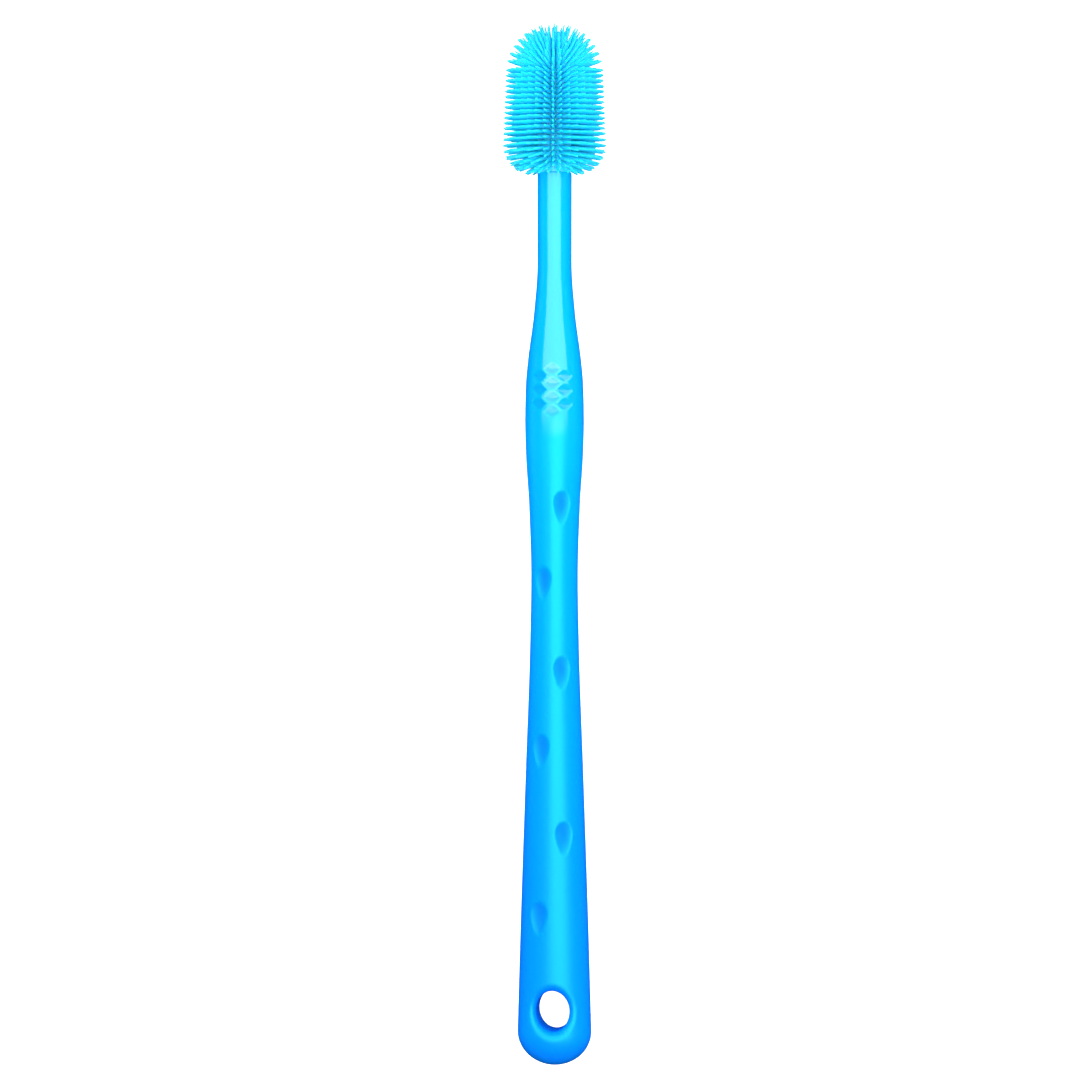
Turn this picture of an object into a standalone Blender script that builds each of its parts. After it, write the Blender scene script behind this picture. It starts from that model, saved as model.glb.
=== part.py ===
"""Pet toothbrush: a moulded silicone bristle head pushed onto the ribbed stem of a one-piece plastic handle.

The brush lies on its back: X is its width, +Y runs from the tail to the head, +Z is up, out of the side
with the thumb dimples. Every station below is a distance from the tail end along the brush's own axis.
"""

import math

import bmesh
import bpy
import numpy as np
from mathutils import Matrix, Vector

MM = 0.001

# Handle: lengths between the sections that set its outline
TAIL_CAP = 5.7 * MM
CAP_TO_WAIST = 76.6 * MM
WAIST_TO_BULGE = 26.2 * MM
BULGE_TO_NECK = 26.5 * MM
NECK_LENGTH = 15.0 * MM

# Handle: widths (across X) and thicknesses (along Z) of those sections
TAIL_WIDTH = 12.5 * MM
TAIL_THICKNESS = 8.0 * MM
GRIP_SWELL = 0.3 * MM
WAIST_WIDTH = 7.87 * MM
WAIST_THICKNESS = 7.2 * MM
BULGE_WIDTH = 9.92 * MM
BULGE_THICKNESS = 8.5 * MM
NECK_DIAMETER = 5.74 * MM

# Stem inside the head
STEM_LENGTH = 13.5 * MM
STEM_DIAMETER = 3.0 * MM
RIB_HEIGHT = 0.25 * MM
RIB_LENGTH = 1.2 * MM
RIB_STATIONS = (4.0 * MM, 9.0 * MM)
SEAT_CLEARANCE = 0.3 * MM

# Hang hole in the tail
HOLE_WIDTH = 5.6 * MM
HOLE_LENGTH = 6.9 * MM
HOLE_WALL_TO_TAIL = 5.95 * MM
HOLE_FLARE = 0.5 * MM

# Thumb dimples: two rows, one each side of the front
DIMPLE_WIDTH = 3.1 * MM
DIMPLE_LENGTH = 6.0 * MM
DIMPLE_DEPTH = 0.55 * MM
DIMPLE_ANGLE = math.radians(23.4)
DIMPLES_A_ROW = 3
LEFT_ROW_START, LEFT_ROW_PITCH = 25.2 * MM, 28.1 * MM
RIGHT_ROW_START, RIGHT_ROW_PITCH = 38.7 * MM, 27.7 * MM

# Scale grip: shallow lens-shaped dents in three staggered columns on the bulge
SCALE_WIDTH = 2.8 * MM
SCALE_LENGTH = 1.6 * MM
SCALE_DEPTH = 0.22 * MM
SCALE_PITCH = 2.37 * MM
SCALE_COLUMN_PITCH = 2.3 * MM
SCALES_IN_MIDDLE = 4
SCALES_PAST_BULGE = 5.2 * MM

# Bristle head
HEAD_LENGTH = 25.0 * MM
SHOULDER_STEP = 0.17 * MM
COLUMNS = 36
CYLINDER_ROWS = 20
DOME_ROWS = 7
DOME_REACH = math.radians(74.0)
COLLAR = 0.2 * MM
TIP_RADIUS_LOW = 8.9 * MM
TIP_RADIUS_TOP = 8.2 * MM
LOWEST_TIP_RADIUS = 5.0 * MM
SHORT_ROWS = 5
LEANING_ROWS = 9
LOWEST_TILT = math.radians(-26.0)
TOP_TILT = math.radians(8.0)
LOWEST_ROW_SHARE = 2

# How it rests: the back of the grip has a flat land, and the lowest bristle tips touch the same plane
REST_STATION = 17.0 * MM
REST_LAND_DEPTH = 0.3 * MM

HANDLE_SIDES = 32
STATION_STEP = 3.2 * MM
HOLE_SIDES = 24
CUT_MARGIN = 3.0 * MM

WAIST_AT = TAIL_CAP + CAP_TO_WAIST
BULGE_AT = WAIST_AT + WAIST_TO_BULGE
NECK_AT = BULGE_AT + BULGE_TO_NECK
SHOULDER_AT = NECK_AT + NECK_LENGTH
BRUSH_LENGTH = SHOULDER_AT + HEAD_LENGTH
SLEEVE_RADIUS = NECK_DIAMETER / 2 - SHOULDER_STEP
STEM_RADIUS = STEM_DIAMETER / 2


def smooth_curve(xs, ys):
    """A cubic through the points that never overshoots them: returns a function of the station."""
    xs = np.array(xs)
    ys = np.array(ys)
    step = np.diff(xs)
    rise = np.diff(ys) / step
    slopes = np.empty(len(xs))
    slopes[0], slopes[-1] = rise[0], rise[-1]
    for i in range(1, len(xs) - 1):
        turning = rise[i - 1] * rise[i] <= 0
        slopes[i] = 0.0 if turning else 2 * rise[i - 1] * rise[i] / (rise[i - 1] + rise[i])

    def value(x):
        i = int(np.clip(np.searchsorted(xs, x) - 1, 0, len(xs) - 2))
        t = float(np.clip((x - xs[i]) / step[i], 0.0, 1.0))
        h00 = (1 + 2 * t) * (1 - t) ** 2
        h10 = t * (1 - t) ** 2
        h01 = t * t * (3 - 2 * t)
        h11 = t * t * (t - 1)
        ends = h00 * ys[i] + h01 * ys[i + 1]
        return float(ends + step[i] * (h10 * slopes[i] + h11 * slopes[i + 1]))

    return value


def part_way(start, end, share):
    return start + (end - start) * share


def half_width_curve():
    """Half the width past the tail cap: a straight taper to the waist, the bulge, then the neck."""
    stations = [TAIL_CAP, part_way(TAIL_CAP, WAIST_AT, 0.26), part_way(TAIL_CAP, WAIST_AT, 0.58)]
    stations += [part_way(TAIL_CAP, WAIST_AT, 0.85)]
    stations += [part_way(WAIST_AT, BULGE_AT, share) for share in (0.0, 0.46, 0.77, 1.0)]
    stations += [part_way(BULGE_AT, NECK_AT, share) for share in (0.23, 0.38, 0.69, 1.0)] + [SHOULDER_AT]
    widths = [part_way(TAIL_WIDTH, WAIST_WIDTH, share) for share in (0.0, 0.25, 0.61, 0.92)]
    widths += [part_way(WAIST_WIDTH, BULGE_WIDTH, share) for share in (0.0, 0.34, 0.84, 1.0)]
    widths += [part_way(BULGE_WIDTH, NECK_DIAMETER, share) for share in (0.065, 0.23, 0.735, 1.0)]
    return smooth_curve(stations, [w / 2 for w in widths + [NECK_DIAMETER]])


def half_thickness_curve():
    """Half the thickness past the tail cap: fullest in the palm, slimmer at the waist, round at the neck."""
    stations = [TAIL_CAP, part_way(TAIL_CAP, WAIST_AT, 0.2), part_way(TAIL_CAP, WAIST_AT, 0.6), WAIST_AT]
    stations += [BULGE_AT, part_way(BULGE_AT, NECK_AT, 0.69), NECK_AT, SHOULDER_AT]
    palm = TAIL_THICKNESS + 2 * GRIP_SWELL
    grip = [TAIL_THICKNESS, palm, part_way(palm, WAIST_THICKNESS, 0.35), WAIST_THICKNESS]
    fall = [BULGE_THICKNESS, part_way(BULGE_THICKNESS, NECK_DIAMETER, 0.74), NECK_DIAMETER, NECK_DIAMETER]
    return smooth_curve(stations, [t / 2 for t in grip + fall])


HALF_WIDTH = half_width_curve()
HALF_THICKNESS = half_thickness_curve()


def section(station):
    """(half width, half thickness) of the handle's oval section."""
    if station >= TAIL_CAP:
        return HALF_WIDTH(station), HALF_THICKNESS(station)
    share = math.sqrt(max(0.0, 1 - (1 - station / TAIL_CAP) ** 2))
    return HALF_WIDTH(TAIL_CAP) * share, HALF_THICKNESS(TAIL_CAP) * share


def surface_point(station, angle, lift=0.0):
    """A point on the handle at an angle round its section from the front, lifted along its normal."""
    a, b = section(station)
    normal = Vector((math.sin(angle) / a, 0.0, math.cos(angle) / b)).normalized()
    return Vector((a * math.sin(angle), station, b * math.cos(angle))) + normal * lift


def material(name, colour, roughness):
    made = bpy.data.materials.new(name)
    made.use_nodes = True
    shader = made.node_tree.nodes["Principled BSDF"]
    shader.inputs["Base Color"].default_value = (*colour, 1.0)
    shader.inputs["Roughness"].default_value = roughness
    shader.inputs["Metallic"].default_value = 0.0
    return made


def mesh_object(name, bm, parent=None):
    bmesh.ops.recalc_face_normals(bm, faces=bm.faces)
    mesh = bpy.data.meshes.new(name)
    bm.to_mesh(mesh)
    bm.free()
    made = bpy.data.objects.new(name, mesh)
    bpy.context.scene.collection.objects.link(made)
    made.parent = parent
    return made


def shade_round(made, crease=math.radians(40)):
    made.data.shade_smooth()
    made.data.set_sharp_from_angle(angle=crease)


def ring(bm, points):
    return [bm.verts.new(p) for p in points]


def band(bm, lower, upper):
    """The faces between two rings of as many points, one face for each pair of neighbours."""
    corners = zip(lower, lower[1:] + lower[:1], upper[1:] + upper[:1], upper)
    return [bm.faces.new(corner) for corner in corners]


def bands(bm, rings):
    for lower, upper in zip(rings, rings[1:]):
        band(bm, lower, upper)


def cap_tip(bm, verts, tip):
    """Closes a ring with a fan of triangles to a point."""
    point = bm.verts.new(tip)
    for vert, following in zip(verts, verts[1:] + verts[:1]):
        bm.faces.new((vert, following, point))


def oval(station, a, b, sides):
    angles = [2 * math.pi * i / sides for i in range(sides)]
    return [(a * math.sin(t), station, b * math.cos(t)) for t in angles]


def body_stations():
    """Stations of the handle's rings: close together round the tail's end, evenly spaced after it."""
    cap = [TAIL_CAP * (1 - math.cos(math.radians(t))) for t in (14, 28, 42, 56, 70)]
    steps = round((SHOULDER_AT - TAIL_CAP) / STATION_STEP)
    return cap + [part_way(TAIL_CAP, SHOULDER_AT, i / steps) for i in range(steps + 1)]


def stem_profile(clearance):
    """(distance past the shoulder, radius) along the stem's outside, grown by a clearance for its bore."""
    rib_radius = STEM_RADIUS + RIB_HEIGHT + clearance
    half = RIB_LENGTH / 2 + clearance
    points = [(0.0, STEM_RADIUS + clearance)]
    for at in RIB_STATIONS:
        points.append((at - half, STEM_RADIUS + clearance))
        points.append((at - half / 2, rib_radius))
        points.append((at + half / 2, rib_radius))
        points.append((at + half, STEM_RADIUS + clearance))
    straight = STEM_LENGTH - STEM_RADIUS
    for degrees in (0, 30, 60):
        turn = math.radians(degrees)
        reach = STEM_RADIUS + clearance
        points.append((straight + reach * math.sin(turn), reach * math.cos(turn)))
    return points


def stem_rings(bm, clearance, sides):
    rings = []
    for past, radius in stem_profile(clearance):
        rings.append(ring(bm, oval(SHOULDER_AT + past, radius, radius, sides)))
    bands(bm, rings)
    cap_tip(bm, rings[-1], (0.0, SHOULDER_AT + STEM_LENGTH + clearance, 0.0))
    return rings


def handle_body(parent):
    """Grip, neck, shoulder and stem as one closed skin."""
    bm = bmesh.new()
    rings = [ring(bm, oval(s, *section(s), HANDLE_SIDES)) for s in body_stations()]
    bands(bm, rings)
    cap_tip(bm, rings[0], (0.0, 0.0, 0.0))
    band(bm, rings[-1], stem_rings(bm, 0.0, HANDLE_SIDES)[0])
    made = mesh_object("handle", bm, parent)
    made.data.materials.append(material("handle_plastic", (0.0, 0.50, 0.95), 0.22))
    return made


def ovoid(bm, centre, axes, turn, segments, rings):
    """A stretched sphere, turned about the brush's axis so that its Z axis points out of the section."""
    shape = Matrix.Translation(centre) @ turn @ Matrix.Diagonal((*axes, 1.0))
    bmesh.ops.create_uvsphere(bm, u_segments=segments, v_segments=rings, radius=1.0, matrix=shape)


def dent(bm, station, angle, width, length, depth, segments, rings):
    """A cutter for one shallow oval dent: an ovoid whose lowest point is `depth` under the surface."""
    a, b = section(station)
    outward = math.atan2(math.sin(angle) / a, math.cos(angle) / b)
    across = (width / 2) ** 2 / (a + b)
    height = 2 * (depth + across)
    spread = 1 / math.sqrt(1 - (1 - (depth + across) / height) ** 2)
    axes = (width / 2 * spread, length / 2 * spread, height)
    centre = surface_point(station, angle, height - depth)
    ovoid(bm, centre, axes, Matrix.Rotation(outward, 4, "Y"), segments, rings)


def dimple_places():
    """(station, angle) of each thumb dimple, left row then right row."""
    rows = ((LEFT_ROW_START, LEFT_ROW_PITCH, -DIMPLE_ANGLE), (RIGHT_ROW_START, RIGHT_ROW_PITCH, DIMPLE_ANGLE))
    return [(start + pitch * i, angle) for start, pitch, angle in rows for i in range(DIMPLES_A_ROW)]


def scale_places():
    """(station, angle) of each scale: a middle column, and a shorter one each side at half a pitch."""
    a, b = section(BULGE_AT)
    middle_station = BULGE_AT + SCALES_PAST_BULGE
    side_angle = math.asin(SCALE_COLUMN_PITCH / a)
    places = []
    for side in (0, 1, -1):
        count = SCALES_IN_MIDDLE - abs(side)
        angle = side * side_angle
        first = middle_station - (count - 1) / 2 * SCALE_PITCH
        places += [(first + SCALE_PITCH * i, angle) for i in range(count)]
    return places


def hole_centre():
    return HOLE_WALL_TO_TAIL + HOLE_LENGTH / 2


def hang_hole(bm):
    """An oval column through the tail, flared where it meets the front and the back."""
    a, b = section(hole_centre())
    surface_at_wall = b * math.sqrt(1 - (HOLE_WIDTH / 2 / a) ** 2)
    straight = surface_at_wall - HOLE_FLARE
    top = b + CUT_MARGIN
    levels = ((-top, 1), (-straight, 0), (straight, 0), (top, 1))
    rings = []
    for z, outer in levels:
        grow = (top - straight) * outer
        half_x, half_y = HOLE_WIDTH / 2 + grow, HOLE_LENGTH / 2 + grow
        angles = [2 * math.pi * i / HOLE_SIDES for i in range(HOLE_SIDES)]
        points = [(half_x * math.cos(t), hole_centre() + half_y * math.sin(t), z) for t in angles]
        rings.append(ring(bm, points))
    bands(bm, rings)
    for end in (rings[0], rings[-1]):
        bm.faces.new(end)


def cut_from(target, name, bm, parent):
    """Subtracts the closed shapes in bm from the target with a Boolean."""
    cutter = mesh_object(name, bm, parent)
    cutter.hide_render = True
    cutter.display_type = "WIRE"
    cut = target.modifiers.new(name, "BOOLEAN")
    cut.operation = "DIFFERENCE"
    cut.solver = "EXACT"
    cut.object = cutter


def add_dimples(handle, parent):
    bm = bmesh.new()
    for station, angle in dimple_places():
        dent(bm, station, angle, DIMPLE_WIDTH, DIMPLE_LENGTH, DIMPLE_DEPTH, 20, 14)
    cut_from(handle, "dimple_cutters", bm, parent)


def add_scales(handle, parent):
    bm = bmesh.new()
    for station, angle in scale_places():
        dent(bm, station, angle, SCALE_WIDTH, SCALE_LENGTH, SCALE_DEPTH, 12, 10)
    cut_from(handle, "scale_cutters", bm, parent)


def add_hang_hole(handle, parent):
    bm = bmesh.new()
    hang_hole(bm)
    cut_from(handle, "hang_hole_cutter", bm, parent)


def add_rest_land(handle):
    """Trims the back of the grip level with the plane that the brush lies on."""
    bm = bmesh.new()
    size = (4 * TAIL_WIDTH, 2 * BRUSH_LENGTH, 4 * TAIL_THICKNESS)
    below = Matrix.Translation((0.0, 0.0, -size[2] / 2)) @ Matrix.Diagonal((*size, 1.0))
    bmesh.ops.create_cube(bm, size=1.0, matrix=below)
    cut_from(handle, "rest_plane_cutter", bm, None)


def bristle_rows():
    """Root station and radius, then tip station and radius, of each row of bristles from the neck up."""
    dome_centre = BRUSH_LENGTH - TIP_RADIUS_TOP
    base = SHOULDER_AT + SEAT_CLEARANCE + COLLAR
    pitch = (dome_centre - base) / CYLINDER_ROWS
    rows = []
    for i in range(CYLINDER_ROWS):
        up = (i + 0.5) / CYLINDER_ROWS
        short = max(0.0, 1 - i / SHORT_ROWS) ** 2
        lean = max(0.0, 1 - i / LEANING_ROWS) ** 2
        full = part_way(TIP_RADIUS_LOW, TIP_RADIUS_TOP, up)
        tip_radius = part_way(full, LOWEST_TIP_RADIUS, short)
        tilt = LOWEST_TILT * lean + TOP_TILT * max(0.0, 2 * up - 1)
        root = base + pitch * (i + 0.5)
        rows.append((root, SLEEVE_RADIUS, root + (tip_radius - SLEEVE_RADIUS) * math.tan(tilt), tip_radius))
    for i in range(DOME_ROWS):
        rise = DOME_REACH * (i + 0.5) / DOME_ROWS
        lean = part_way(TOP_TILT, math.pi / 2, rise / (math.pi / 2))
        root = (dome_centre + SLEEVE_RADIUS * math.sin(rise), SLEEVE_RADIUS * math.cos(rise))
        tip = (dome_centre + TIP_RADIUS_TOP * math.sin(lean), TIP_RADIUS_TOP * math.cos(lean))
        rows.append((*root, *tip))
    return rows


def sleeve_edges():
    """(station, radius) of the lines between the rows, which the bristles' roots fill."""
    dome_centre = BRUSH_LENGTH - TIP_RADIUS_TOP
    base = SHOULDER_AT + SEAT_CLEARANCE + COLLAR
    lines = [(SHOULDER_AT + SEAT_CLEARANCE, SLEEVE_RADIUS)]
    for i in range(CYLINDER_ROWS + 1):
        lines.append((part_way(base, dome_centre, i / CYLINDER_ROWS), SLEEVE_RADIUS))
    for i in range(1, DOME_ROWS + 1):
        rise = DOME_REACH * i / DOME_ROWS
        lines.append((dome_centre + SLEEVE_RADIUS * math.sin(rise), SLEEVE_RADIUS * math.cos(rise)))
    return lines


def bristle_head(parent):
    """The silicone moulding: the sleeve's cells, fewer in the lowest row, drawn out to spikes round a blind bore."""
    bm = bmesh.new()
    rings = [ring(bm, oval(s, r, r, COLUMNS)) for s, r in sleeve_edges()]
    band(bm, rings[0], rings[1])
    for row, (_, _, tip_station, tip_radius) in enumerate(bristle_rows()):
        cells = band(bm, rings[row + 1], rings[row + 2])
        if row == 0:
            cells = cells[1::LOWEST_ROW_SHARE]
        for vert in bmesh.ops.poke(bm, faces=cells)["verts"]:
            across = Vector((vert.co.x, 0.0, vert.co.z)).normalized()
            vert.co = across * tip_radius + Vector((0.0, tip_station, 0.0))
    cap_tip(bm, rings[-1], (0.0, BRUSH_LENGTH, 0.0))
    bore = stem_rings(bm, SEAT_CLEARANCE, COLUMNS)
    for vert in bore[0]:
        vert.co.y = SHOULDER_AT + SEAT_CLEARANCE
    band(bm, rings[0], bore[0])
    made = mesh_object("bristle_head", bm, parent)
    made.data.materials.append(material("head_silicone", (0.0, 0.62, 0.95), 0.4))
    return made


def brush_axis():
    """The empty that everything hangs on, tilted so that the grip's back and the head touch the table."""
    rows = bristle_rows()
    facing_down = math.cos(math.pi / COLUMNS)
    tip_station, tip_radius = max(((row[2], row[3]) for row in rows), key=lambda tip: tip[1])
    grip_depth = HALF_THICKNESS(REST_STATION) - REST_LAND_DEPTH
    tilt = math.atan2(tip_radius * facing_down - grip_depth, tip_station - REST_STATION)
    axis = bpy.data.objects.new("brush_axis", None)
    bpy.context.scene.collection.objects.link(axis)
    height = grip_depth * math.cos(tilt) - REST_STATION * math.sin(tilt)
    axis.location = (0.0, -BRUSH_LENGTH / 2 * math.cos(tilt), height)
    axis.rotation_euler = (tilt, 0.0, 0.0)
    return axis


def main():
    for old in list(bpy.data.objects):
        bpy.data.objects.remove(old, do_unlink=True)
    axis = brush_axis()
    handle = handle_body(axis)
    add_dimples(handle, axis)
    add_scales(handle, axis)
    add_hang_hole(handle, axis)
    add_rest_land(handle)
    shade_round(handle)
    head = bristle_head(axis)
    shade_round(head)


main()
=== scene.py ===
"""Looks of a pet toothbrush: a tinted glossy handle and a moulded silicone head full of tapered bristles.

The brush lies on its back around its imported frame. Stations are distances from the tail end along the brush's
own axis, which rises a little from the tail to the head.
"""

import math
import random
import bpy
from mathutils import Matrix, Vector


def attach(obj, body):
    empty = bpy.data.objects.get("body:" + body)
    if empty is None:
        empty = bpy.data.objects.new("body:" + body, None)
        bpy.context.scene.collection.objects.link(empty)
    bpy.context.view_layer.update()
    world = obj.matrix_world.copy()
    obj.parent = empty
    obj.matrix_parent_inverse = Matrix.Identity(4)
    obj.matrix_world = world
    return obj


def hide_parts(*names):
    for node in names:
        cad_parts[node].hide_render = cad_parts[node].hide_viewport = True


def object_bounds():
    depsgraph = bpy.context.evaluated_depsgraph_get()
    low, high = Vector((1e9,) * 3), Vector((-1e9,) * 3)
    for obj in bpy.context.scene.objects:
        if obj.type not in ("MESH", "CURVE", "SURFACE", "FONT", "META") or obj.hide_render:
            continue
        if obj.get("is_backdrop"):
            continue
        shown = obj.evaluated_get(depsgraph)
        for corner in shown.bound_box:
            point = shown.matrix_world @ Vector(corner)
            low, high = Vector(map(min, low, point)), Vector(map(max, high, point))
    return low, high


bl_info = {
    "name": "Pet Toothbrush",
    "version": (1, 0, 0),
    "blender": (4, 5, 0),
    "location": "View3D > Sidebar > Toothbrush",
    "description": "Builds the handle, the bristle head and the studio of a pet toothbrush",
    "category": "Object",
}

import bmesh
import bpy
import numpy as np
from bpy.props import FloatProperty, FloatVectorProperty, IntProperty, PointerProperty
from mathutils import Matrix, Vector

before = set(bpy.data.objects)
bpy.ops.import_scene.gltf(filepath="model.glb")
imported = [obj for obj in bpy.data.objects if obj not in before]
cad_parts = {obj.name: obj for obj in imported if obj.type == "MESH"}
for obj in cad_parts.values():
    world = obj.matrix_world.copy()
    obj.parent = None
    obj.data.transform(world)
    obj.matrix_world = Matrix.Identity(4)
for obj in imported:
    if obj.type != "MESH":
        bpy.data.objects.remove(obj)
CAD_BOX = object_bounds()

MM = 0.001


def length(name, description, millimetres):
    size = millimetres * MM
    return FloatProperty(name=name, description=description, default=size, unit="LENGTH", precision=5)


def count(name, description, default):
    return IntProperty(name=name, description=description, default=default, min=1)


def turn(name, description, degrees):
    return FloatProperty(name=name, description=description, default=math.radians(degrees), subtype="ANGLE")


def share(name, description, default):
    return FloatProperty(name=name, description=description, default=default, min=0.0, subtype="FACTOR")


def power(name, description, default):
    return FloatProperty(name=name, description=description, default=default, min=0.0, unit="POWER")


def colour(name, description, default):
    rgb = {"default": default, "size": 3, "min": 0.0, "subtype": "COLOR"}
    return FloatVectorProperty(name=name, description=description, **rgb)


class BrushHandle(bpy.types.PropertyGroup):
    """Sizes and finish of the one-piece plastic handle."""

    tail_cap: length("Tail cap", "Length of the rounded tail end", 5.7)
    cap_to_waist: length("Cap to waist", "From the tail cap to the slimmest section of the grip", 76.6)
    waist_to_bulge: length("Waist to bulge", "From the waist to the widest section of the finger bulge", 26.2)
    bulge_to_neck: length("Bulge to neck", "From the bulge to the start of the straight neck", 26.5)
    neck_length: length("Neck length", "Straight neck up to the shoulder", 15.0)
    tail_width: length("Tail width", "Width at the tail cap", 12.5)
    tail_thickness: length("Tail thickness", "Thickness at the tail cap", 8.0)
    grip_swell: length("Grip swell", "How much fuller each side of the palm is than the tail", 0.3)
    waist_width: length("Waist width", "Width at the waist", 7.87)
    waist_thickness: length("Waist thickness", "Thickness at the waist", 7.2)
    bulge_width: length("Bulge width", "Width at the finger bulge", 9.92)
    bulge_thickness: length("Bulge thickness", "Thickness at the finger bulge", 8.5)
    neck_diameter: length("Neck diameter", "Diameter of the straight neck", 5.74)
    shoulder_edge: length("Shoulder edge", "Rounding of the neck's end edge", 0.12)
    stem_length: length("Stem length", "Length of the stem inside the head", 13.5)
    stem_diameter: length("Stem diameter", "Diameter of the stem inside the head", 3.0)
    hole_width: length("Hole width", "Width of the oval hang hole", 5.6)
    hole_length: length("Hole length", "Length of the oval hang hole", 6.9)
    hole_to_tail: length("Hole to tail", "Wall between the hang hole and the tail end", 5.95)
    hole_rim: length("Hole rim", "Radius of the rounded rim of the hang hole", 1.5)
    dimple_width: length("Dimple width", "Width of a thumb dimple", 3.1)
    dimple_length: length("Dimple length", "Length of a thumb dimple", 5.6)
    dimple_depth: length("Dimple depth", "Depth of a thumb dimple", 0.5)
    dimple_angle: turn("Dimple angle", "How far round from the front a dimple sits", 23.4)
    scale_width: length("Scale width", "Width of a grip scale", 2.8)
    scale_length: length("Scale length", "Length of a grip scale", 2.0)
    scale_depth: length("Scale depth", "Depth of a grip scale", 0.2)
    scale_pitch: length("Scale pitch", "Distance between the scales of a column", 2.37)
    scale_column_pitch: length("Scale column pitch", "Distance between the columns of scales", 2.3)
    tint: colour("Tint", "Colour of the plastic", (0.0, 0.33, 0.93))
    # The dent colour is painted shade: it darkens the bottoms of the dimples and scales, where shade falls.
    dent_shade_tint: colour("Hollow tint", "Colour of the plastic in the bottom of a dimple", (0.0, 0.13, 0.90))
    # The deep tint is painted shade that darkens the plastic towards the tail, with faint flow lines varying
    # it; it is not the colour of thicker plastic.
    tail_shade_and_flow_tint: colour("Deep tint", "Colour of the plastic where it is thickest", (0.0, 0.20, 0.92))
    roughness: share("Roughness", "Roughness of the plastic's surface", 0.28)


class BrushHead(bpy.types.PropertyGroup):
    """Sizes and finish of the silicone bristle head."""

    head_length: length("Head length", "From the shoulder to the tip of the topmost bristle", 25.0)
    shoulder_step: length("Shoulder step", "How far the neck's shoulder stands out from the sleeve", 0.17)
    columns: count("Columns", "Columns of bristles round the sleeve", 36)
    rows: count("Rows", "Rows of bristles along the straight part of the sleeve", 20)
    collar: length("Collar", "Bare sleeve between the shoulder and the lowest bristles", 0.5)
    tip_radius_low: length("Low tip radius", "Distance of the lower bristle tips from the axis", 8.9)
    tip_radius_top: length("Top tip radius", "Distance of the upper bristle tips from the axis", 8.2)
    lowest_tip_radius: length("Lowest tip radius", "Distance of the lowest row's tips from the axis", 5.0)
    short_rows: count("Short rows", "Rows at the handle end that are shorter than the rest", 5)
    leaning_rows: count("Leaning rows", "Rows that lean towards the handle", 9)
    lowest_tilt: turn("Lowest tilt", "How far the lowest bristles lean towards the handle", 26.0)
    top_tilt: turn("Top tilt", "How far the last straight row leans towards the dome", 8.0)
    root_radius: length("Root radius", "Radius of a bristle at its root", 0.30)
    tip_size: length("Tip size", "Radius of a bristle just before its tip", 0.14)
    stray: turn("Stray", "How far a bristle may lean off its line", 0.5)
    # The root colour is paler than the tips as painted light: it stands in for light passing through the
    # translucent silicone into the shaded gaps between the bristle roots.
    tint: colour("Tint", "Colour of the silicone at the roots", (0.05, 0.74, 1.0))
    tip_tint: colour("Tip tint", "Colour of the silicone towards the bristle tips", (0.02, 0.56, 1.0))
    roughness: share("Roughness", "Roughness of the silicone's surface", 0.34)


class BrushStudio(bpy.types.PropertyGroup):
    """Camera, lights and floor."""

    distance: FloatProperty(name="Distance", description="Camera to the brush", default=0.68, unit="LENGTH")
    station: length("Station", "Point along the brush that the camera stands over", 111.0)
    aim: length("Aim", "Point along the brush in the middle of the picture", 88.5)
    orbit: turn("Orbit", "How far the camera is turned round the brush", 7.5)
    offset: length("Offset", "How far the middle of the picture lies beside the brush", 2.44)
    frame_width: length("Frame width", "Width of the picture at the brush", 181.2)
    softbox_watts: power("Softbox power", "Power of the overhead softbox", 11.6)
    strip_watts: power("Strip power", "Power of the strip light over the grip", 2.6)
    card_watts: power("Card power", "Power of each small light beside the head", 0.25)
    floor_colour: colour("Floor colour", "Colour of the floor", (0.80, 0.80, 0.80))
    world_strength: share("World strength", "Brightness of the room", 0.21)


def part_way(start, end, portion):
    return start + (end - start) * portion


def brush_axis():
    """The matrix from the brush's own axis, tail end at its origin, to the frame."""
    verts = [v.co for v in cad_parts["handle"].data.vertices]
    tail = min(verts, key=lambda p: p.y).copy()
    rise = max(verts, key=lambda p: p.y) - tail
    tail.x = 0.0
    return Matrix.Translation(tail) @ Matrix.Rotation(math.atan2(rise.z, rise.y), 4, "X")


AXIS = brush_axis()


def placed(points):
    """Points of the brush's own axis system, moved to the frame."""
    turned = np.array(AXIS.to_3x3())
    return np.asarray(points, float) @ turned.T + np.array(AXIS.translation)


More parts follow.
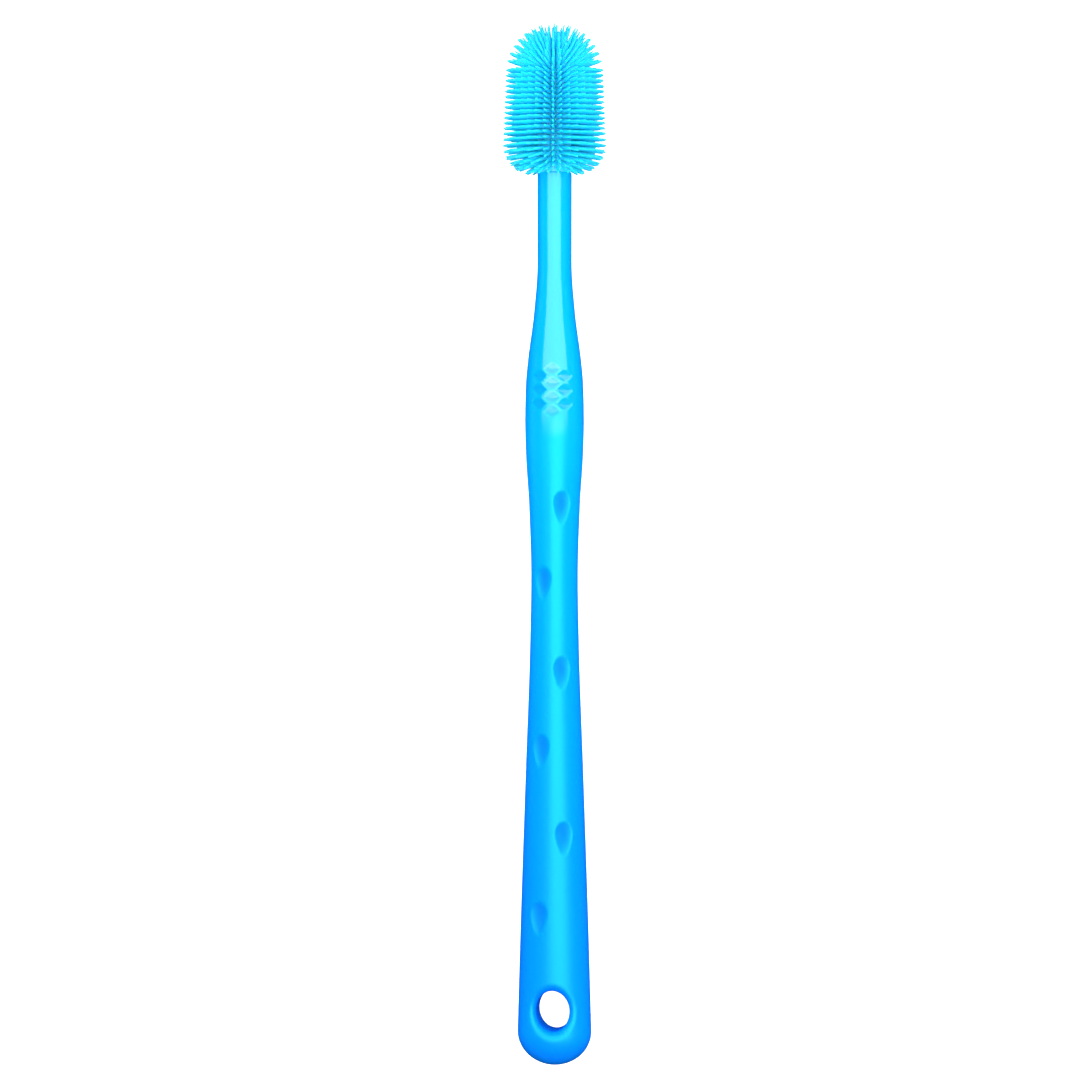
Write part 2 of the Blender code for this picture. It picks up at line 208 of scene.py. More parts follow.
class Outline:
    """The handle's oval sections along its axis."""

    def __init__(self, sizes):
        self.cap = sizes.tail_cap
        self.waist = self.cap + sizes.cap_to_waist
        self.bulge = self.waist + sizes.waist_to_bulge
        self.neck = self.bulge + sizes.bulge_to_neck
        self.shoulder = self.neck + sizes.neck_length
        self.half_width = self.width_curve(sizes)
        self.half_thickness = self.thickness_curve(sizes)

    def width_curve(self, sizes):
        stations = [part_way(self.cap, self.waist, p) for p in (0.0, 0.26, 0.58, 0.85)]
        stations += [part_way(self.waist, self.bulge, p) for p in (0.0, 0.46, 0.77, 1.0)]
        stations += [part_way(self.bulge, self.neck, p) for p in (0.23, 0.38, 0.69, 1.0)] + [self.shoulder]
        widths = [part_way(sizes.tail_width, sizes.waist_width, p) for p in (0.0, 0.25, 0.61, 0.92)]
        widths += [part_way(sizes.waist_width, sizes.bulge_width, p) for p in (0.0, 0.34, 0.84, 1.0)]
        widths += [part_way(sizes.bulge_width, sizes.neck_diameter, p) for p in (0.065, 0.23, 0.735, 1.0)]
        return smooth_curve(stations, np.array(widths + [sizes.neck_diameter]) / 2)

    def thickness_curve(self, sizes):
        palm = sizes.tail_thickness + 2 * sizes.grip_swell
        stations = [part_way(self.cap, self.waist, p) for p in (0.0, 0.2, 0.6, 1.0)]
        stations += [self.bulge, part_way(self.bulge, self.neck, 0.69), self.neck, self.shoulder]
        thick = [sizes.tail_thickness, palm, part_way(palm, sizes.waist_thickness, 0.35)]
        thick += [sizes.waist_thickness, sizes.bulge_thickness]
        thick += [part_way(sizes.bulge_thickness, sizes.neck_diameter, 0.74)]
        return smooth_curve(stations, np.array(thick + [sizes.neck_diameter] * 2) / 2)

    def section(self, station):
        """(half width, half thickness) at each station."""
        station = np.asarray(station, float)
        short = np.clip(1 - station / self.cap, 0.0, 1.0)
        round_end = np.sqrt(np.maximum(0.0, 1 - short**2))
        return self.half_width(station) * round_end, self.half_thickness(station) * round_end


def smooth_curve(xs, ys):
    """A cubic through the points that never overshoots them: returns a function of an array of stations."""
    xs = np.array(xs)
    step = np.diff(xs)
    rise = np.diff(ys) / step
    slopes = np.zeros(len(xs))
    slopes[0], slopes[-1] = rise[0], rise[-1]
    rising_on = rise[:-1] * rise[1:] > 0
    both = np.where(rising_on, rise[:-1] + rise[1:], 1.0)
    slopes[1:-1] = np.where(rising_on, 2 * rise[:-1] * rise[1:] / both, 0.0)

    def value(x):
        i = np.clip(np.searchsorted(xs, x) - 1, 0, len(xs) - 2)
        t = np.clip((x - xs[i]) / step[i], 0.0, 1.0)
        ends = (1 + 2 * t) * (1 - t) ** 2 * ys[i] + t * t * (3 - 2 * t) * ys[i + 1]
        leans = t * (1 - t) ** 2 * slopes[i] + t * t * (t - 1) * slopes[i + 1]
        return ends + step[i] * leans

    return value


def face_outwards(mesh):
    bm = bmesh.new()
    bm.from_mesh(mesh)
    bmesh.ops.recalc_face_normals(bm, faces=bm.faces)
    bm.to_mesh(mesh)
    bm.free()


class Skin:
    """A mesh as it grows: points, and faces between their numbers."""

    def __init__(self):
        self.points = []
        self.faces = []
        self.reach = []

    def add(self, points, reach=0.0):
        """Adds points and returns their numbers; reach is how far up a bristle, or how deep in a dent."""
        first = len(self.points)
        self.points.extend(map(tuple, points))
        self.reach.extend(np.broadcast_to(reach, len(points)).tolist())
        return list(range(first, len(self.points)))

    def band(self, lower, upper, closed=True):
        """Faces between two rows of as many points."""
        last = len(lower) if closed else len(lower) - 1
        for i in range(last):
            j = (i + 1) % len(lower)
            self.faces.append((lower[i], lower[j], upper[j], upper[i]))

    def fan(self, ring, tip):
        for i, here in enumerate(ring):
            self.faces.append((here, ring[(i + 1) % len(ring)], tip))

    def piece(self, name, *nodes):
        """Makes the object, which rides on the body and stands for the CAD nodes."""
        mesh = bpy.data.meshes.new(name)
        mesh.from_pydata(placed(self.points), [], self.faces)
        mesh.attributes.new("reach", "FLOAT", "POINT").data.foreach_set("value", self.reach)
        face_outwards(mesh)
        mesh.shade_smooth()
        made = bpy.data.objects.new(name, mesh)
        bpy.context.scene.collection.objects.link(made)
        bpy.context.view_layer.objects.active = made
        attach(made, "root")
        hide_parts(*nodes)
        return made


# ---- handle

HALF_SIDES = 80
TAIL_PATCH = 6.2 * MM
OUTLINE_STEPS = 28
CAP_STEPS = 60
RIM_STEPS = 7
TAIL_STEPS = 22
WALL_STEPS = 5
LEFT_DIMPLES = (25.2 * MM, 28.1 * MM)
RIGHT_DIMPLES = (38.7 * MM, 27.7 * MM)
DIMPLES_A_ROW = 3
DIMPLE_TAPER = 0.25
MIDDLE_SCALES = 4
SCALES_PAST_BULGE = 5.2 * MM
DEEPEST_OF_DIMPLE = 0.25
DEEPEST_OF_SCALE = -0.4
LAND_SOFTNESS = 0.05 * MM
RIB_HEIGHT = 0.25 * MM
RIB_LENGTH = 1.2 * MM
RIB_STATIONS = (4.0 * MM, 9.0 * MM)


def ring_stations(line, join):
    """Stations of the grip's rings, closest together over the scales."""
    scales = line.bulge + SCALES_PAST_BULGE
    stretches = ((join, scales - 6 * MM, 0.32), (scales - 6 * MM, scales + 6 * MM, 0.15))
    stretches += ((scales + 6 * MM, line.neck, 0.32), (line.neck, line.shoulder, 0.75))
    stations = []
    for start, end, step in stretches:
        stations += list(np.linspace(start, end, round((end - start) / (step * MM)), endpoint=False))
    return np.array(stations)


def dimple_places(sizes):
    for (start, pitch), side in ((LEFT_DIMPLES, -1), (RIGHT_DIMPLES, 1)):
        for i in range(DIMPLES_A_ROW):
            yield start + pitch * i, side * sizes.dimple_angle


def scale_places(sizes, line):
    middle = line.bulge + SCALES_PAST_BULGE
    side_angle = math.asin(sizes.scale_column_pitch / float(line.half_width(line.bulge)))
    for side in (0, 1, -1):
        in_column = MIDDLE_SCALES - abs(side)
        for i in range(in_column):
            yield middle + sizes.scale_pitch * (i - (in_column - 1) / 2), side * side_angle


def across(line, station, angle, angles):
    """Distance round the section from a place at an angle."""
    a, b = line.section(station)
    return math.hypot(a * math.cos(angle), b * math.sin(angle)) * (angles - angle)


def past_deepest(portion, deepest):
    """How far towards its edge, from -1 to 1, a point lies along a dent that is deepest off its middle."""
    beyond = portion - deepest
    return np.where(beyond > 0, beyond / (1 - deepest), beyond / (1 + deepest))


def dents(sizes, line, stations, angles):
    """How deep the thumb dimples and the grip scales push in each point of the grid."""
    depth = np.zeros((len(stations), len(angles)))
    along = stations[:, None]
    for station, angle in dimple_places(sizes):
        u = across(line, station, angle, angles)[None, :] / (sizes.dimple_width / 2)
        v = past_deepest((along - station) / (sizes.dimple_length / 2), DEEPEST_OF_DIMPLE)
        narrow = 1 - DIMPLE_TAPER * np.clip(-v, 0.0, 1.0)
        bowl = np.clip(1 - (u / narrow) ** 2 - v**2, 0.0, 1.0)
        depth = np.maximum(depth, sizes.dimple_depth * bowl)
    for station, angle in scale_places(sizes, line):
        u = across(line, station, angle, angles)[None, :] / (sizes.scale_width / 2)
        lens = np.clip(1 - np.abs(u) ** 1.8, 1e-6, 1.0)
        v = past_deepest((along - station) / (sizes.scale_length / 2) / lens, DEEPEST_OF_SCALE)
        depth = np.maximum(depth, sizes.scale_depth * np.clip(1 - v**2, 0.0, 1.0) * lens**0.5)
    return depth


def grip_points(line, stations, angles, depth):
    """The grid of points from the tail patch to the shoulder, pushed in by the dents."""
    a, b = line.section(stations)
    x = a[:, None] * np.sin(angles)
    z = b[:, None] * np.cos(angles)
    normal_x, normal_z = x / a[:, None] ** 2, z / b[:, None] ** 2
    inward = depth / np.hypot(normal_x, normal_z)
    y = np.broadcast_to(stations[:, None], x.shape)
    return np.stack([x - normal_x * inward, y, z - normal_z * inward], axis=-1)


def tail_outline(line, join):
    """(x, station) along the tail's outline, from the join on the right round to the join on the left."""
    straight = np.linspace(join, line.cap, OUTLINE_STEPS, endpoint=False)[1:]
    width = line.section(straight)[0]
    turns = np.linspace(0.0, math.pi, CAP_STEPS + 1)
    cap_x = float(line.half_width(line.cap)) * np.cos(turns)
    cap_y = line.cap * (1 - np.sin(turns))
    right = np.stack([width, straight], axis=1)
    left = (right * (-1, 1))[::-1]
    return np.concatenate([right, np.stack([cap_x, cap_y], axis=1), left])


def tail_levels(sizes, line, targets):
    """Rows of (x, station, height) from the hang hole's wall out to the targets, over the rounded rim."""
    middle = np.array([0.0, sizes.hole_to_tail + sizes.hole_length / 2])
    towards = targets - middle
    facing = np.arctan2(towards[:, 1], towards[:, 0])
    reach = 1 / np.hypot(np.cos(facing) / (sizes.hole_width / 2), np.sin(facing) / (sizes.hole_length / 2))
    distance = np.linalg.norm(towards, axis=1)
    towards = towards / distance[:, None]
    span = distance - reach - sizes.hole_rim
    steps = []
    for i in range(RIM_STEPS + 1):
        rise = math.pi / 2 * i / RIM_STEPS
        steps.append((sizes.hole_rim * (1 - math.cos(rise)), 0.0, sizes.hole_rim * (1 - math.sin(rise))))
    for i in range(1, TAIL_STEPS + 1):
        steps.append((sizes.hole_rim, math.sin(math.pi / 2 * i / TAIL_STEPS), 0.0))
    levels = []
    for out, portion, drop in steps:
        flat = middle + towards * (reach + out + span * portion)[:, None]
        a, b = line.section(flat[:, 1])
        ratio = np.clip(flat[:, 0] / np.maximum(a, 1e-9), -1.0, 1.0)
        levels.append(np.column_stack([flat, b * np.sqrt(1 - ratio**2) - drop]))
    return levels


def add_tail(skin, sizes, line, join, first_ring):
    """The tail end with its hang hole: front and back faces, and the wall between them."""
    half = HALF_SIDES
    outline = tail_outline(line, join)
    join_points = np.array([skin.points[i] for i in first_ring[: half + 1]])[:, :2]
    targets = np.concatenate([join_points, outline])
    levels = tail_levels(sizes, line, targets)
    edge = skin.add(np.column_stack([outline, np.zeros(len(outline))]))
    walls = []
    for side in (1, -1):
        ring_part = [first_ring[(side * i) % (2 * half)] for i in range(half + 1)]
        rows = [skin.add(level * (1, 1, side)) for level in levels[:-1]] + [ring_part + edge]
        for lower, upper in zip(rows, rows[1:]):
            skin.band(lower, upper)
        walls.append(rows[0])
    top = np.array([skin.points[i] for i in walls[0]])
    rows = [walls[0]]
    for i in range(1, WALL_STEPS):
        rows.append(skin.add(top * (1, 1, 1 - 2 * i / WALL_STEPS)))
    rows.append(walls[1])
    for lower, upper in zip(rows, rows[1:]):
        skin.band(lower, upper)


def stem_profile(sizes, clearance):
    """(distance past the shoulder, radius) along the stem and its retaining ribs."""
    radius = sizes.stem_diameter / 2 + clearance
    half = RIB_LENGTH / 2 + clearance
    points = []
    for at in RIB_STATIONS:
        points += [(at - half, radius), (at - half / 2, radius + RIB_HEIGHT)]
        points += [(at + half / 2, radius + RIB_HEIGHT), (at + half, radius)]
    straight = sizes.stem_length - sizes.stem_diameter / 2
    turns = [math.radians(d) for d in range(0, 90, 15)]
    return points + [(straight + radius * math.sin(t), radius * math.cos(t)) for t in turns]


def circle(station, radius, angles):
    return np.column_stack([radius * np.sin(angles), np.full(len(angles), station), radius * np.cos(angles)])


def add_stem(skin, sizes, line, angles, last_ring):
    """The rounded shoulder edge, the shoulder and the stem, closing the handle's upper end."""
    edge = sizes.shoulder_edge
    neck = sizes.neck_diameter / 2
    corner = [math.radians(d) for d in (0, 22, 45, 68, 90)]
    profile = [(-edge + edge * math.sin(t), neck - edge + edge * math.cos(t)) for t in corner]
    profile += [(0.0, sizes.stem_diameter / 2)] + stem_profile(sizes, 0.0)
    rings = [last_ring] + [skin.add(circle(line.shoulder + s, r, angles)) for s, r in profile]
    for lower, upper in zip(rings, rings[1:]):
        skin.band(lower, upper)
    skin.fan(rings[-1], skin.add([(0.0, line.shoulder + sizes.stem_length, 0.0)])[0])


def rest_on_floor(made):
    """Flattens the back of the grip where it meets the plane that the brush lies on."""
    for vert in made.data.vertices:
        vert.co.z = (vert.co.z + math.hypot(vert.co.z, LAND_SOFTNESS)) / 2


def build_handle(sizes):
    line = Outline(sizes)
    join = sizes.hole_to_tail + sizes.hole_length + TAIL_PATCH
    angles = -math.pi / 2 + math.pi / HALF_SIDES * np.arange(2 * HALF_SIDES)
    skin = Skin()
    stations = ring_stations(line, join)
    depth = dents(sizes, line, stations, angles)
    points = grip_points(line, stations, angles, depth)
    # Each point's share of the dimple depth is stored as reach; the handle's finish uses it to paint shade into
    # the dents.
    rings = [skin.add(row, deep) for row, deep in zip(points, depth / sizes.dimple_depth)]
    for lower, upper in zip(rings, rings[1:]):
        skin.band(lower, upper)
    add_tail(skin, sizes, line, join, rings[0])
    add_stem(skin, sizes, line, angles, rings[-1])
    made = skin.piece("brush_handle", "handle")
    rest_on_floor(made)
    return made


# ---- bristle head

SEAT_GAP = 0.03 * MM
COLLAR_BEVEL = 0.06 * MM
DOME_COLUMN_SHARES = (1, 1, 1, 1, 1, 2, 3)
DOME_ROW_RISE = math.radians(10.6)
BRISTLE_LEVELS = (0.02, 0.06, 0.16, 0.34, 0.55, 0.76, 0.91)
TIP_LEVELS = ((0.965, 1.0), (0.987, 0.75), (0.997, 0.4))
ROOT_FLARE = 0.25
FLARE_REACH = 0.05
WIDEST_ROOT = 0.46
CLEAR_OF_ROOT = 0.25
STAGGERED_ROWS = 6


def sleeve_lines(sizes, line, top):
    """(station, radius) of the lines between the rows of bristles, and the columns in the row above each."""
    sleeve = sleeve_radius(sizes, line)
    dome = top - sizes.tip_radius_top
    base = line.shoulder + sizes.collar
    lines = [(part_way(base, dome, i / sizes.rows), sleeve, sizes.columns) for i in range(sizes.rows)]
    for i, fewer in enumerate(DOME_COLUMN_SHARES):
        rise = DOME_ROW_RISE * i
        lines.append((dome + sleeve * math.sin(rise), sleeve * math.cos(rise), sizes.columns // fewer))
    rise = DOME_ROW_RISE * len(DOME_COLUMN_SHARES)
    return lines + [(dome + sleeve * math.sin(rise), sleeve * math.cos(rise), 1)]


def sleeve_radius(sizes, line):
    return float(line.half_width(line.shoulder)) - sizes.shoulder_step


def tips(sizes, line, top):
    """(station, radius) of the tips of each row, from the handle up."""
    sleeve = sleeve_radius(sizes, line)
    dome = top - sizes.tip_radius_top
    base = line.shoulder + sizes.collar
    found = []
    for i in range(sizes.rows):
        up = (i + 0.5) / sizes.rows
        short = max(0.0, 1 - i / sizes.short_rows) ** 2
        lean = max(0.0, 1 - i / sizes.leaning_rows) ** 2
        full = part_way(sizes.tip_radius_low, sizes.tip_radius_top, up)
        radius = part_way(full, sizes.lowest_tip_radius, short)
        tilt = sizes.top_tilt * max(0.0, 2 * up - 1) - sizes.lowest_tilt * lean
        root = base + (dome - base) * up
        found.append((root + (radius - sleeve) * math.tan(tilt), radius))
    for i in range(len(DOME_COLUMN_SHARES)):
        lean = part_way(sizes.top_tilt, math.pi / 2, DOME_ROW_RISE * (i + 0.5) / (math.pi / 2))
        found.append((dome + sizes.tip_radius_top * math.sin(lean), sizes.tip_radius_top * math.cos(lean)))
    return found


def polar(station, radius, angle):
    return Vector((radius * math.sin(angle), station, radius * math.cos(angle)))


def grow_bristle(skin, sizes, rim, root, tip, root_radius, draw):
    """One tapered bristle with a rounded tip, grown out of the loop of sleeve points round its root."""
    along = tip - root
    side = along.orthogonal().normalized()
    other = along.cross(side).normalized()
    bend = (side * draw.gauss(0, 1) + other * draw.gauss(0, 1)) * along.length * math.tan(sizes.stray)
    spokes = []
    for i in rim:
        out = Vector(skin.points[i]) - root
        angle = math.atan2(out.dot(other), out.dot(side))
        spokes.append(side * math.cos(angle) + other * math.sin(angle))
    below = rim
    widths = []
    for t in BRISTLE_LEVELS:
        flare = 1 + ROOT_FLARE * math.exp(-t / FLARE_REACH)
        full = part_way(root_radius, sizes.root_radius, min(1.0, t / CLEAR_OF_ROOT))
        widths.append((t, part_way(full, sizes.tip_size, t**1.8) * flare))
    widths += [(t, sizes.tip_size * portion) for t, portion in TIP_LEVELS]
    for t, radius in widths:
        middle = root + along * t + bend * t * t
        ring = skin.add([middle + spoke * radius for spoke in spokes], t)
        skin.band(below, ring)
        below = ring
    skin.fan(below, skin.add([root + along + bend], 1.0)[0])


def build_head(sizes, handle_sizes):
    """The sleeve, its dome, every bristle and the bore for the stem, as one closed skin."""
    line = Outline(handle_sizes)
    top = line.shoulder + sizes.head_length
    lines = sleeve_lines(sizes, line, top)
    ends = tips(sizes, line, top)
    draw = random.Random(11)
    skin = Skin()
    columns = [lines[0][2]] + [row[2] for row in lines[:-1]]
    counts = [2 * max(below, row[2]) for below, row in zip(columns, lines)]
    rings = []
    for (station, radius, _), points in zip(lines, counts):
        rings.append(skin.add(circle(station, radius, 2 * math.pi / points * np.arange(points))))
    for row in range(len(ends)):
        add_row(skin, sizes, lines, rings, row, ends, draw)
    peak = Vector((0.0, lines[-1][0], 0.0))
    grow_bristle(skin, sizes, rings[-1], peak, Vector((0.0, top, 0.0)), sizes.root_radius, draw)
    add_bore(skin, sizes, handle_sizes, line, rings[0])
    return skin.piece("silicone_bristle_head", "bristle_head")


def add_row(skin, sizes, lines, rings, row, ends, draw):
    """One row of cells round the sleeve, each grown into a bristle."""
    (low, low_radius, columns), (high, high_radius, _) = lines[row], lines[row + 1]
    middle, middle_radius = (low + high) / 2, (low_radius + high_radius) / 2
    step = 2 * math.pi / columns
    edges = skin.add([polar(middle, middle_radius, step * c) for c in range(columns)])
    lower, upper = rings[row], rings[row + 1]
    low_step, high_step = len(lower) // columns, len(upper) // columns
    root_radius = min(sizes.root_radius, WIDEST_ROOT * step * middle_radius)
    stagger = max(0.0, 1 - row / STAGGERED_ROWS) / 2
    for c in range(columns):
        bottom = [lower[(c * low_step + i) % len(lower)] for i in range(low_step + 1)]
        ceiling = [upper[(c * high_step + i) % len(upper)] for i in range(high_step, -1, -1)]
        rim = bottom + [edges[(c + 1) % columns]] + ceiling + [edges[c]]
        angle = step * (c + 0.5)
        if row == 0 and c % 2 == 0:
            skin.faces.append(rim)
            continue
        tip_at = ends[row]
        if c % 2 == 0 and stagger > 0:
            tip_at = [part_way(here, following, stagger) for here, following in zip(ends[row], ends[row + 1])]
        root = polar(middle, middle_radius, angle)
        grow_bristle(skin, sizes, rim, root, polar(*tip_at, angle), root_radius, draw)


def add_bore(skin, sizes, handle_sizes, line, rim):
    """The collar below the lowest row, the face seated on the shoulder, and the blind bore for the stem."""
    angles = 2 * math.pi / len(rim) * np.arange(len(rim))
    seat = line.shoulder + SEAT_GAP
    bore = handle_sizes.stem_diameter / 2 + SEAT_GAP
    sleeve = sleeve_radius(sizes, line)
    profile = [(seat + COLLAR_BEVEL, sleeve), (seat, sleeve - COLLAR_BEVEL), (seat, bore)]
    profile += [(line.shoulder + s, r) for s, r in stem_profile(handle_sizes, SEAT_GAP)]
    rings = [rim] + [skin.add(circle(s, r, angles)) for s, r in profile]
    for lower, upper in zip(rings, rings[1:]):
        skin.band(lower, upper)
    skin.fan(rings[-1], skin.add([(0.0, line.shoulder + handle_sizes.stem_length + SEAT_GAP, 0.0)])[0])


# ---- finishes

class Value:
    """A shader socket that arithmetic can be written on."""

    def __init__(self, shading, socket):
        self.shading = shading
        self.socket = socket

    def maths(self, operation, *values):
        return self.shading.node("ShaderNodeMath", {"operation": operation}, dict(enumerate(values)))

    def __add__(self, other):
        return self.maths("ADD", self, other)

    __radd__ = __add__

    def __sub__(self, other):
        return self.maths("SUBTRACT", self, other)

    def __rsub__(self, other):
        return self.maths("SUBTRACT", other, self)

    def __mul__(self, other):
        return self.maths("MULTIPLY", self, other)

    __rmul__ = __mul__

    def __truediv__(self, other):
        return self.maths("DIVIDE", self, other)

    def clamped(self):
        return self.shading.node("ShaderNodeClamp", {}, {0: self})


class Shading:
    """A material's node tree, with one Principled shader."""

    def __init__(self, name):
        self.material = bpy.data.materials.new(name)
        self.material.use_nodes = True
        self.tree = self.material.node_tree
        self.shader = self.tree.nodes["Principled BSDF"]

    def node(self, kind, settings, inputs, output=0):
        """Adds a node with its settings, then its sockets' values or links, and returns an output."""
        made = self.tree.nodes.new(kind)
        for name, value in settings.items():
            setattr(made, name, value)
        for name, value in inputs.items():
            self.feed(made.inputs[name], value)
        return Value(self, made.outputs[output])

    def feed(self, socket, value):
        if isinstance(value, Value):
            self.tree.links.new(value.socket, socket)
        elif hasattr(value, "__len__") and len(socket.default_value) == 4:
            socket.default_value = (*value, 1.0)
        else:
            socket.default_value = value

    def surface(self, inputs):
        for name, value in inputs.items():
            self.feed(self.shader.inputs[name], value)

    def place(self):
        return self.node("ShaderNodeTexCoord", {}, {}, "Object")

    def stretched(self, place, factors):
        return self.node("ShaderNodeVectorMath", {"operation": "MULTIPLY"}, {0: place, 1: factors})

    def noise(self, place, scale, detail):
        inputs = {"Vector": place, "Scale": scale, "Detail": detail}
        return self.node("ShaderNodeTexNoise", {}, inputs, "Fac")

    def stored(self, name):
        """An attribute of the mesh's points."""
        return self.node("ShaderNodeAttribute", {"attribute_name": name}, {}, "Fac")

    def blend(self, portion, first, second):
        inputs = {"Factor": portion, 6: first, 7: second}
        return self.node("ShaderNodeMix", {"data_type": "RGBA"}, inputs, 2)

    def bump(self, height, strength, distance):
        return self.node("ShaderNodeBump", {}, {"Height": height, "Strength": strength, "Distance": distance})


# The share, at the middle of the brush, of the painted shade that deepens the tint towards the tail, and how
# much of it is lost per metre towards the head
MIDDLE_TAIL_SHADE = 0.55
TAIL_SHADE_SLOPE = 7.0
# Where the gloss of the neck starts, past the middle of the brush, and how much it gains per metre
GLOSS_START = 18.0 * MM
GLOSS_SLOPE = 110.0
# Height of the fine bumps that both surfaces have
BUMP_HEIGHT = 0.02 * MM


def gloss_plastic(sizes):
    """Tinted moulded plastic: faint flow lines, painted shade that deepens the tint towards the tail and in the
    dents, a glossy neck.
    """
    shading = Shading("handle_plastic")
    place = shading.place()
    along = shading.node("ShaderNodeSeparateXYZ", {}, {0: place}, "Y")
    flow = shading.noise(shading.stretched(place, (220.0, 30.0, 220.0)), 1.0, 3.0)
    # thick is painted shade that deepens the tint along the brush towards the tail, mixed with faint flow
    # lines; it does not follow the plastic's thickness.
    thick = (MIDDLE_TAIL_SHADE - along * TAIL_SHADE_SLOPE + flow * 0.12).clamped()
    polish = ((along - GLOSS_START) * GLOSS_SLOPE).clamped()
    # Painted shade in the dimples and scales: the deeper a point lies in a dent, the darker its colour is
    # painted, and the rougher its surface.
    dent_shade = shading.stored("reach").clamped()
    tint = shading.blend(thick, sizes.tint, sizes.tail_shade_and_flow_tint)
    grain = shading.noise(place, 2600.0, 2.0)
    handled = shading.noise(shading.stretched(place, (90.0, 45.0, 90.0)), 1.0, 4.0)
    rough = sizes.roughness + thick * 0.10 + (handled - 0.5) * 0.05
    shading.surface({
        # The base colour is darkened in the dents as painted shade.
        "Base Color": shading.blend(dent_shade, tint, sizes.dent_shade_tint),
        "Roughness": rough + dent_shade * 0.4,
        "Coat Weight": polish * 0.9,
        "Coat Roughness": 0.08,
        "Normal": shading.bump(grain + handled * 2.0, 0.05, BUMP_HEIGHT),
        "IOR": 1.49,
        "Subsurface Weight": 0.25,
        "Subsurface Radius": (0.1, 0.7, 1.0),
        "Subsurface Scale": 0.003,
        "Specular IOR Level": 1.0,
        "Specular Tint": (0.05, 1.0, 1.0),
    })
    return shading.material


def silicone(sizes):
    """Soft translucent silicone with a dusty, slightly uneven skin, painted paler at the roots as painted light
    in the shaded gaps between the bristles.
    """
    shading = Shading("head_silicone")
    place = shading.place()
    reach = shading.stored("reach")
    cloud = shading.noise(place, 300.0, 3.0)
    fine = shading.noise(place, 5200.0, 2.0)
    # Painted light: the colour is palest at the bristle roots, where the gaps lie in shade, and fades towards
    # the tips, with a mottle of random tone.
    root_light_fade_and_mottle = (reach * 1.2 + (cloud - 0.5) * 0.3).clamped()
    shading.surface({
        "Base Color": shading.blend(root_light_fade_and_mottle, sizes.tint, sizes.tip_tint),
        "Roughness": sizes.roughness + (cloud - 0.5) * 0.1,
        "Normal": shading.bump(fine, 0.08, BUMP_HEIGHT),
        "IOR": 1.41,
        "Subsurface Weight": 1.0,
        "Subsurface Radius": (0.1, 0.8, 0.5),
        "Subsurface Scale": 0.003,
        "Specular Tint": (1.0, 1.0, 1.0),
    })
    return shading.material


def floor_paint(tone):
    """Pale matt paint that glows a little, so that it stays plain to its edges."""
    shading = Shading("studio_floor")
    speck = shading.noise(shading.place(), 60.0, 2.0)
    darker = tuple(0.985 * c for c in tone)
    shading.surface({"Base Color": shading.blend(speck, darker, tuple(tone)), "Roughness": 0.9})
    shading.surface({"Specular IOR Level": 0.1, "Emission Color": tuple(tone), "Emission Strength": 1.25})
    return shading.material


# ---- studio

FLOOR_SIZE = 6.0
SOFTBOX_SIZE = (1.05, 1.2)
SOFTBOX_AT = (0.09, 0.58, 0.52)
STRIP_SIZE = (0.44, 0.3)
STRIP_AT = (0.13, -0.15, 0.5)
CARD_SIZE = (0.08, 0.12)
CARD_AT = (0.15, 0.05, 0.05)


def add_floor(tone):
    mesh = bpy.data.meshes.new("floor")
    half = FLOOR_SIZE / 2
    corners = [(-half, -half, 0.0), (half, -half, 0.0), (half, half, 0.0), (-half, half, 0.0)]
    mesh.from_pydata(corners, [], [(0, 1, 2, 3)])
    made = bpy.data.objects.new("floor", mesh)
    mesh.materials.append(floor_paint(tone))
    made.visible_diffuse = False
    made.visible_glossy = False
    bpy.context.scene.collection.objects.link(made)
    made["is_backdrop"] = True


def add_panel(name, size, at, turned, watts, in_gloss):
    """A rectangular soft light that faces down, or is turned about the brush's length to face sideways."""
    light = bpy.data.lights.new(name, "AREA")
    light.shape = "RECTANGLE"
    light.size, light.size_y = size
    light.energy = watts
    made = bpy.data.objects.new(name, light)
    made.location = at
    made.rotation_euler = (0.0, turned, 0.0)
    made.visible_camera = False
    made.visible_glossy = in_gloss
    bpy.context.scene.collection.objects.link(made)


def add_world(strength):
    world = bpy.data.worlds.new("room")
    bpy.context.scene.world = world
    world.use_nodes = True
    world.cycles_visibility.glossy = False
    room = world.node_tree.nodes["Background"]
    room.inputs["Color"].default_value = (1.0, 1.0, 1.0, 1.0)
    room.inputs["Strength"].default_value = strength


def add_camera(studio):
    """Stands over a station of the brush, turned a little round it, and looks at the middle of the brush."""
    lens = bpy.data.cameras.new("camera")
    lens.sensor_width = 36.0
    lens.lens = lens.sensor_width * studio.distance / studio.frame_width
    made = bpy.data.objects.new("camera", lens)
    turned = Matrix.Rotation(studio.orbit, 4, "Y")
    stand = Matrix.Translation((0.0, studio.station, 0.0)) @ turned
    pitch = math.atan2(studio.aim - studio.station, studio.distance)
    raised = stand @ Matrix.Translation((-studio.offset, 0.0, studio.distance))
    made.matrix_world = AXIS @ raised @ Matrix.Rotation(pitch, 4, "X")
    bpy.context.scene.collection.objects.link(made)
    bpy.context.scene.camera = made


# ---- operators and panel

class BuildHandle(bpy.types.Operator):
    """Builds the handle with its dimples, scales and hang hole"""

    bl_idname = "toothbrush.build_handle"
    bl_label = "Build Handle"

    def execute(self, context):
        sizes = context.scene.brush_handle
        made = build_handle(sizes)
        made.data.materials.append(gloss_plastic(sizes))
        return {"FINISHED"}


class BuildBristleHead(bpy.types.Operator):
    """Builds the silicone head with all its bristles"""

    bl_idname = "toothbrush.build_bristle_head"
    bl_label = "Build Bristle Head"

    def execute(self, context):
        sizes = context.scene.brush_head
        made = build_head(sizes, context.scene.brush_handle)
        made.data.materials.append(silicone(sizes))
        return {"FINISHED"}


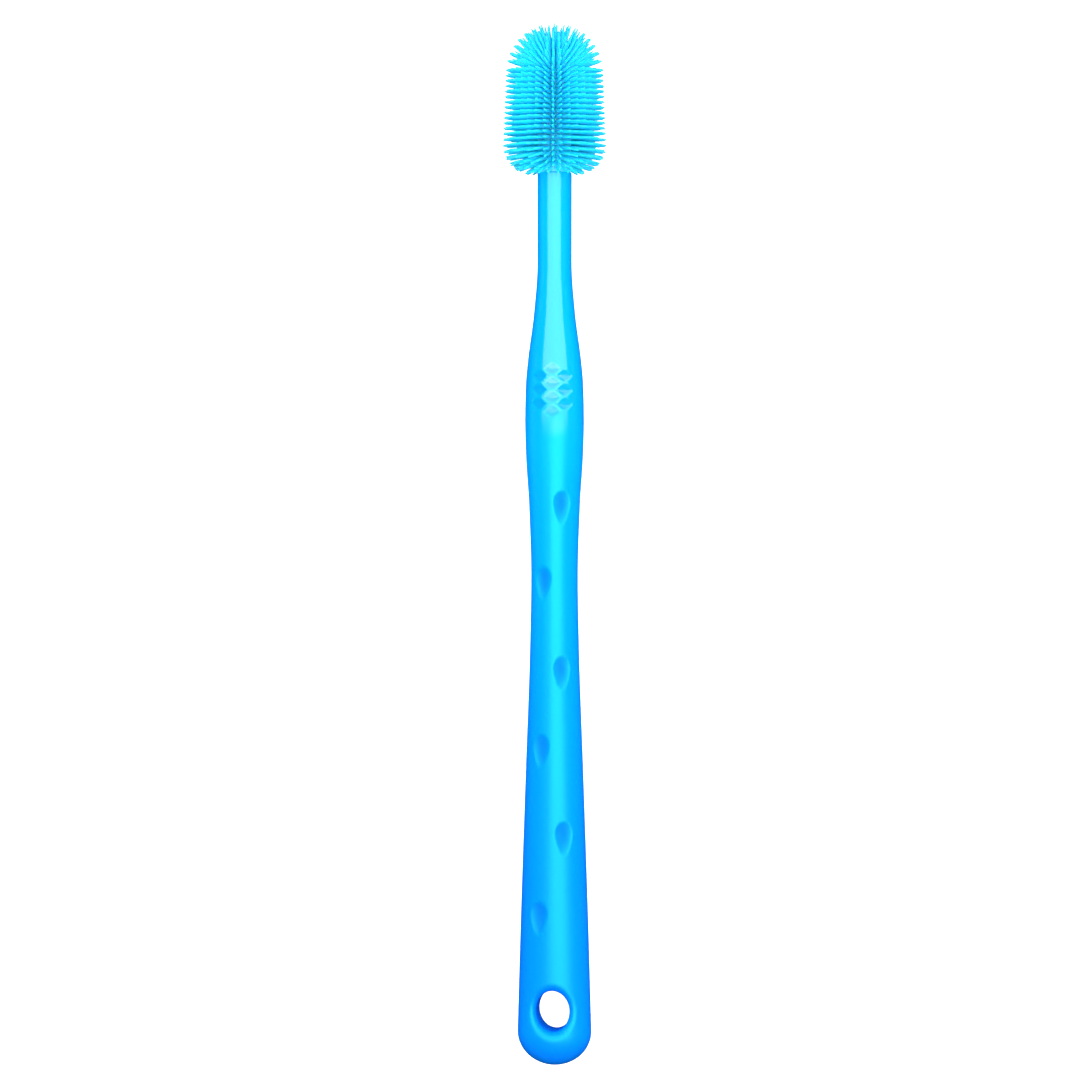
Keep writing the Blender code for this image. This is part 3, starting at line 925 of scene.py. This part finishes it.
class BuildStudio(bpy.types.Operator):
    """Builds the floor, the lights and the camera"""

    bl_idname = "toothbrush.build_studio"
    bl_label = "Build Studio"

    def execute(self, context):
        studio = context.scene.brush_studio
        add_floor(tuple(studio.floor_colour))
        add_panel("softbox", SOFTBOX_SIZE, SOFTBOX_AT, 0.0, studio.softbox_watts, True)
        add_panel("strip", STRIP_SIZE, STRIP_AT, 0.0, studio.strip_watts, True)
        for side in (-1, 1):
            at = (side * CARD_AT[0], *CARD_AT[1:])
            add_panel("card", CARD_SIZE, at, side * math.pi / 2, studio.card_watts, False)
        add_world(studio.world_strength)
        add_camera(studio)
        context.scene.view_settings.view_transform = "Standard"
        return {"FINISHED"}


class ToothbrushPanel(bpy.types.Panel):
    """Sizes and build buttons of the toothbrush"""

    bl_idname = "VIEW3D_PT_toothbrush"
    bl_label = "Pet Toothbrush"
    bl_space_type = "VIEW_3D"
    bl_region_type = "UI"
    bl_category = "Toothbrush"

    def draw(self, context):
        for group, operator in GROUPS:
            box = self.layout.box()
            settings = getattr(context.scene, group)
            for name in type(settings).__annotations__:
                box.prop(settings, name)
            box.operator(operator)


CLASSES = (BrushHandle, BrushHead, BrushStudio, BuildHandle, BuildBristleHead, BuildStudio, ToothbrushPanel)
GROUPS = (
    ("brush_handle", BuildHandle.bl_idname),
    ("brush_head", BuildBristleHead.bl_idname),
    ("brush_studio", BuildStudio.bl_idname),
)


def register():
    for cls in CLASSES:
        bpy.utils.register_class(cls)
    bpy.types.Scene.brush_handle = PointerProperty(type=BrushHandle)
    bpy.types.Scene.brush_head = PointerProperty(type=BrushHead)
    bpy.types.Scene.brush_studio = PointerProperty(type=BrushStudio)


def unregister():
    del bpy.types.Scene.brush_studio
    del bpy.types.Scene.brush_head
    del bpy.types.Scene.brush_handle
    for cls in reversed(CLASSES):
        bpy.utils.unregister_class(cls)


def main():
    register()
    bpy.ops.toothbrush.build_handle()
    bpy.ops.toothbrush.build_bristle_head()
    bpy.ops.toothbrush.build_studio()
    boxes = {"cad": CAD_BOX, "visual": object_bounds()}
    {name: [list(corner) for corner in box] for name, box in boxes.items()}


if __name__ == "__main__":
    main()
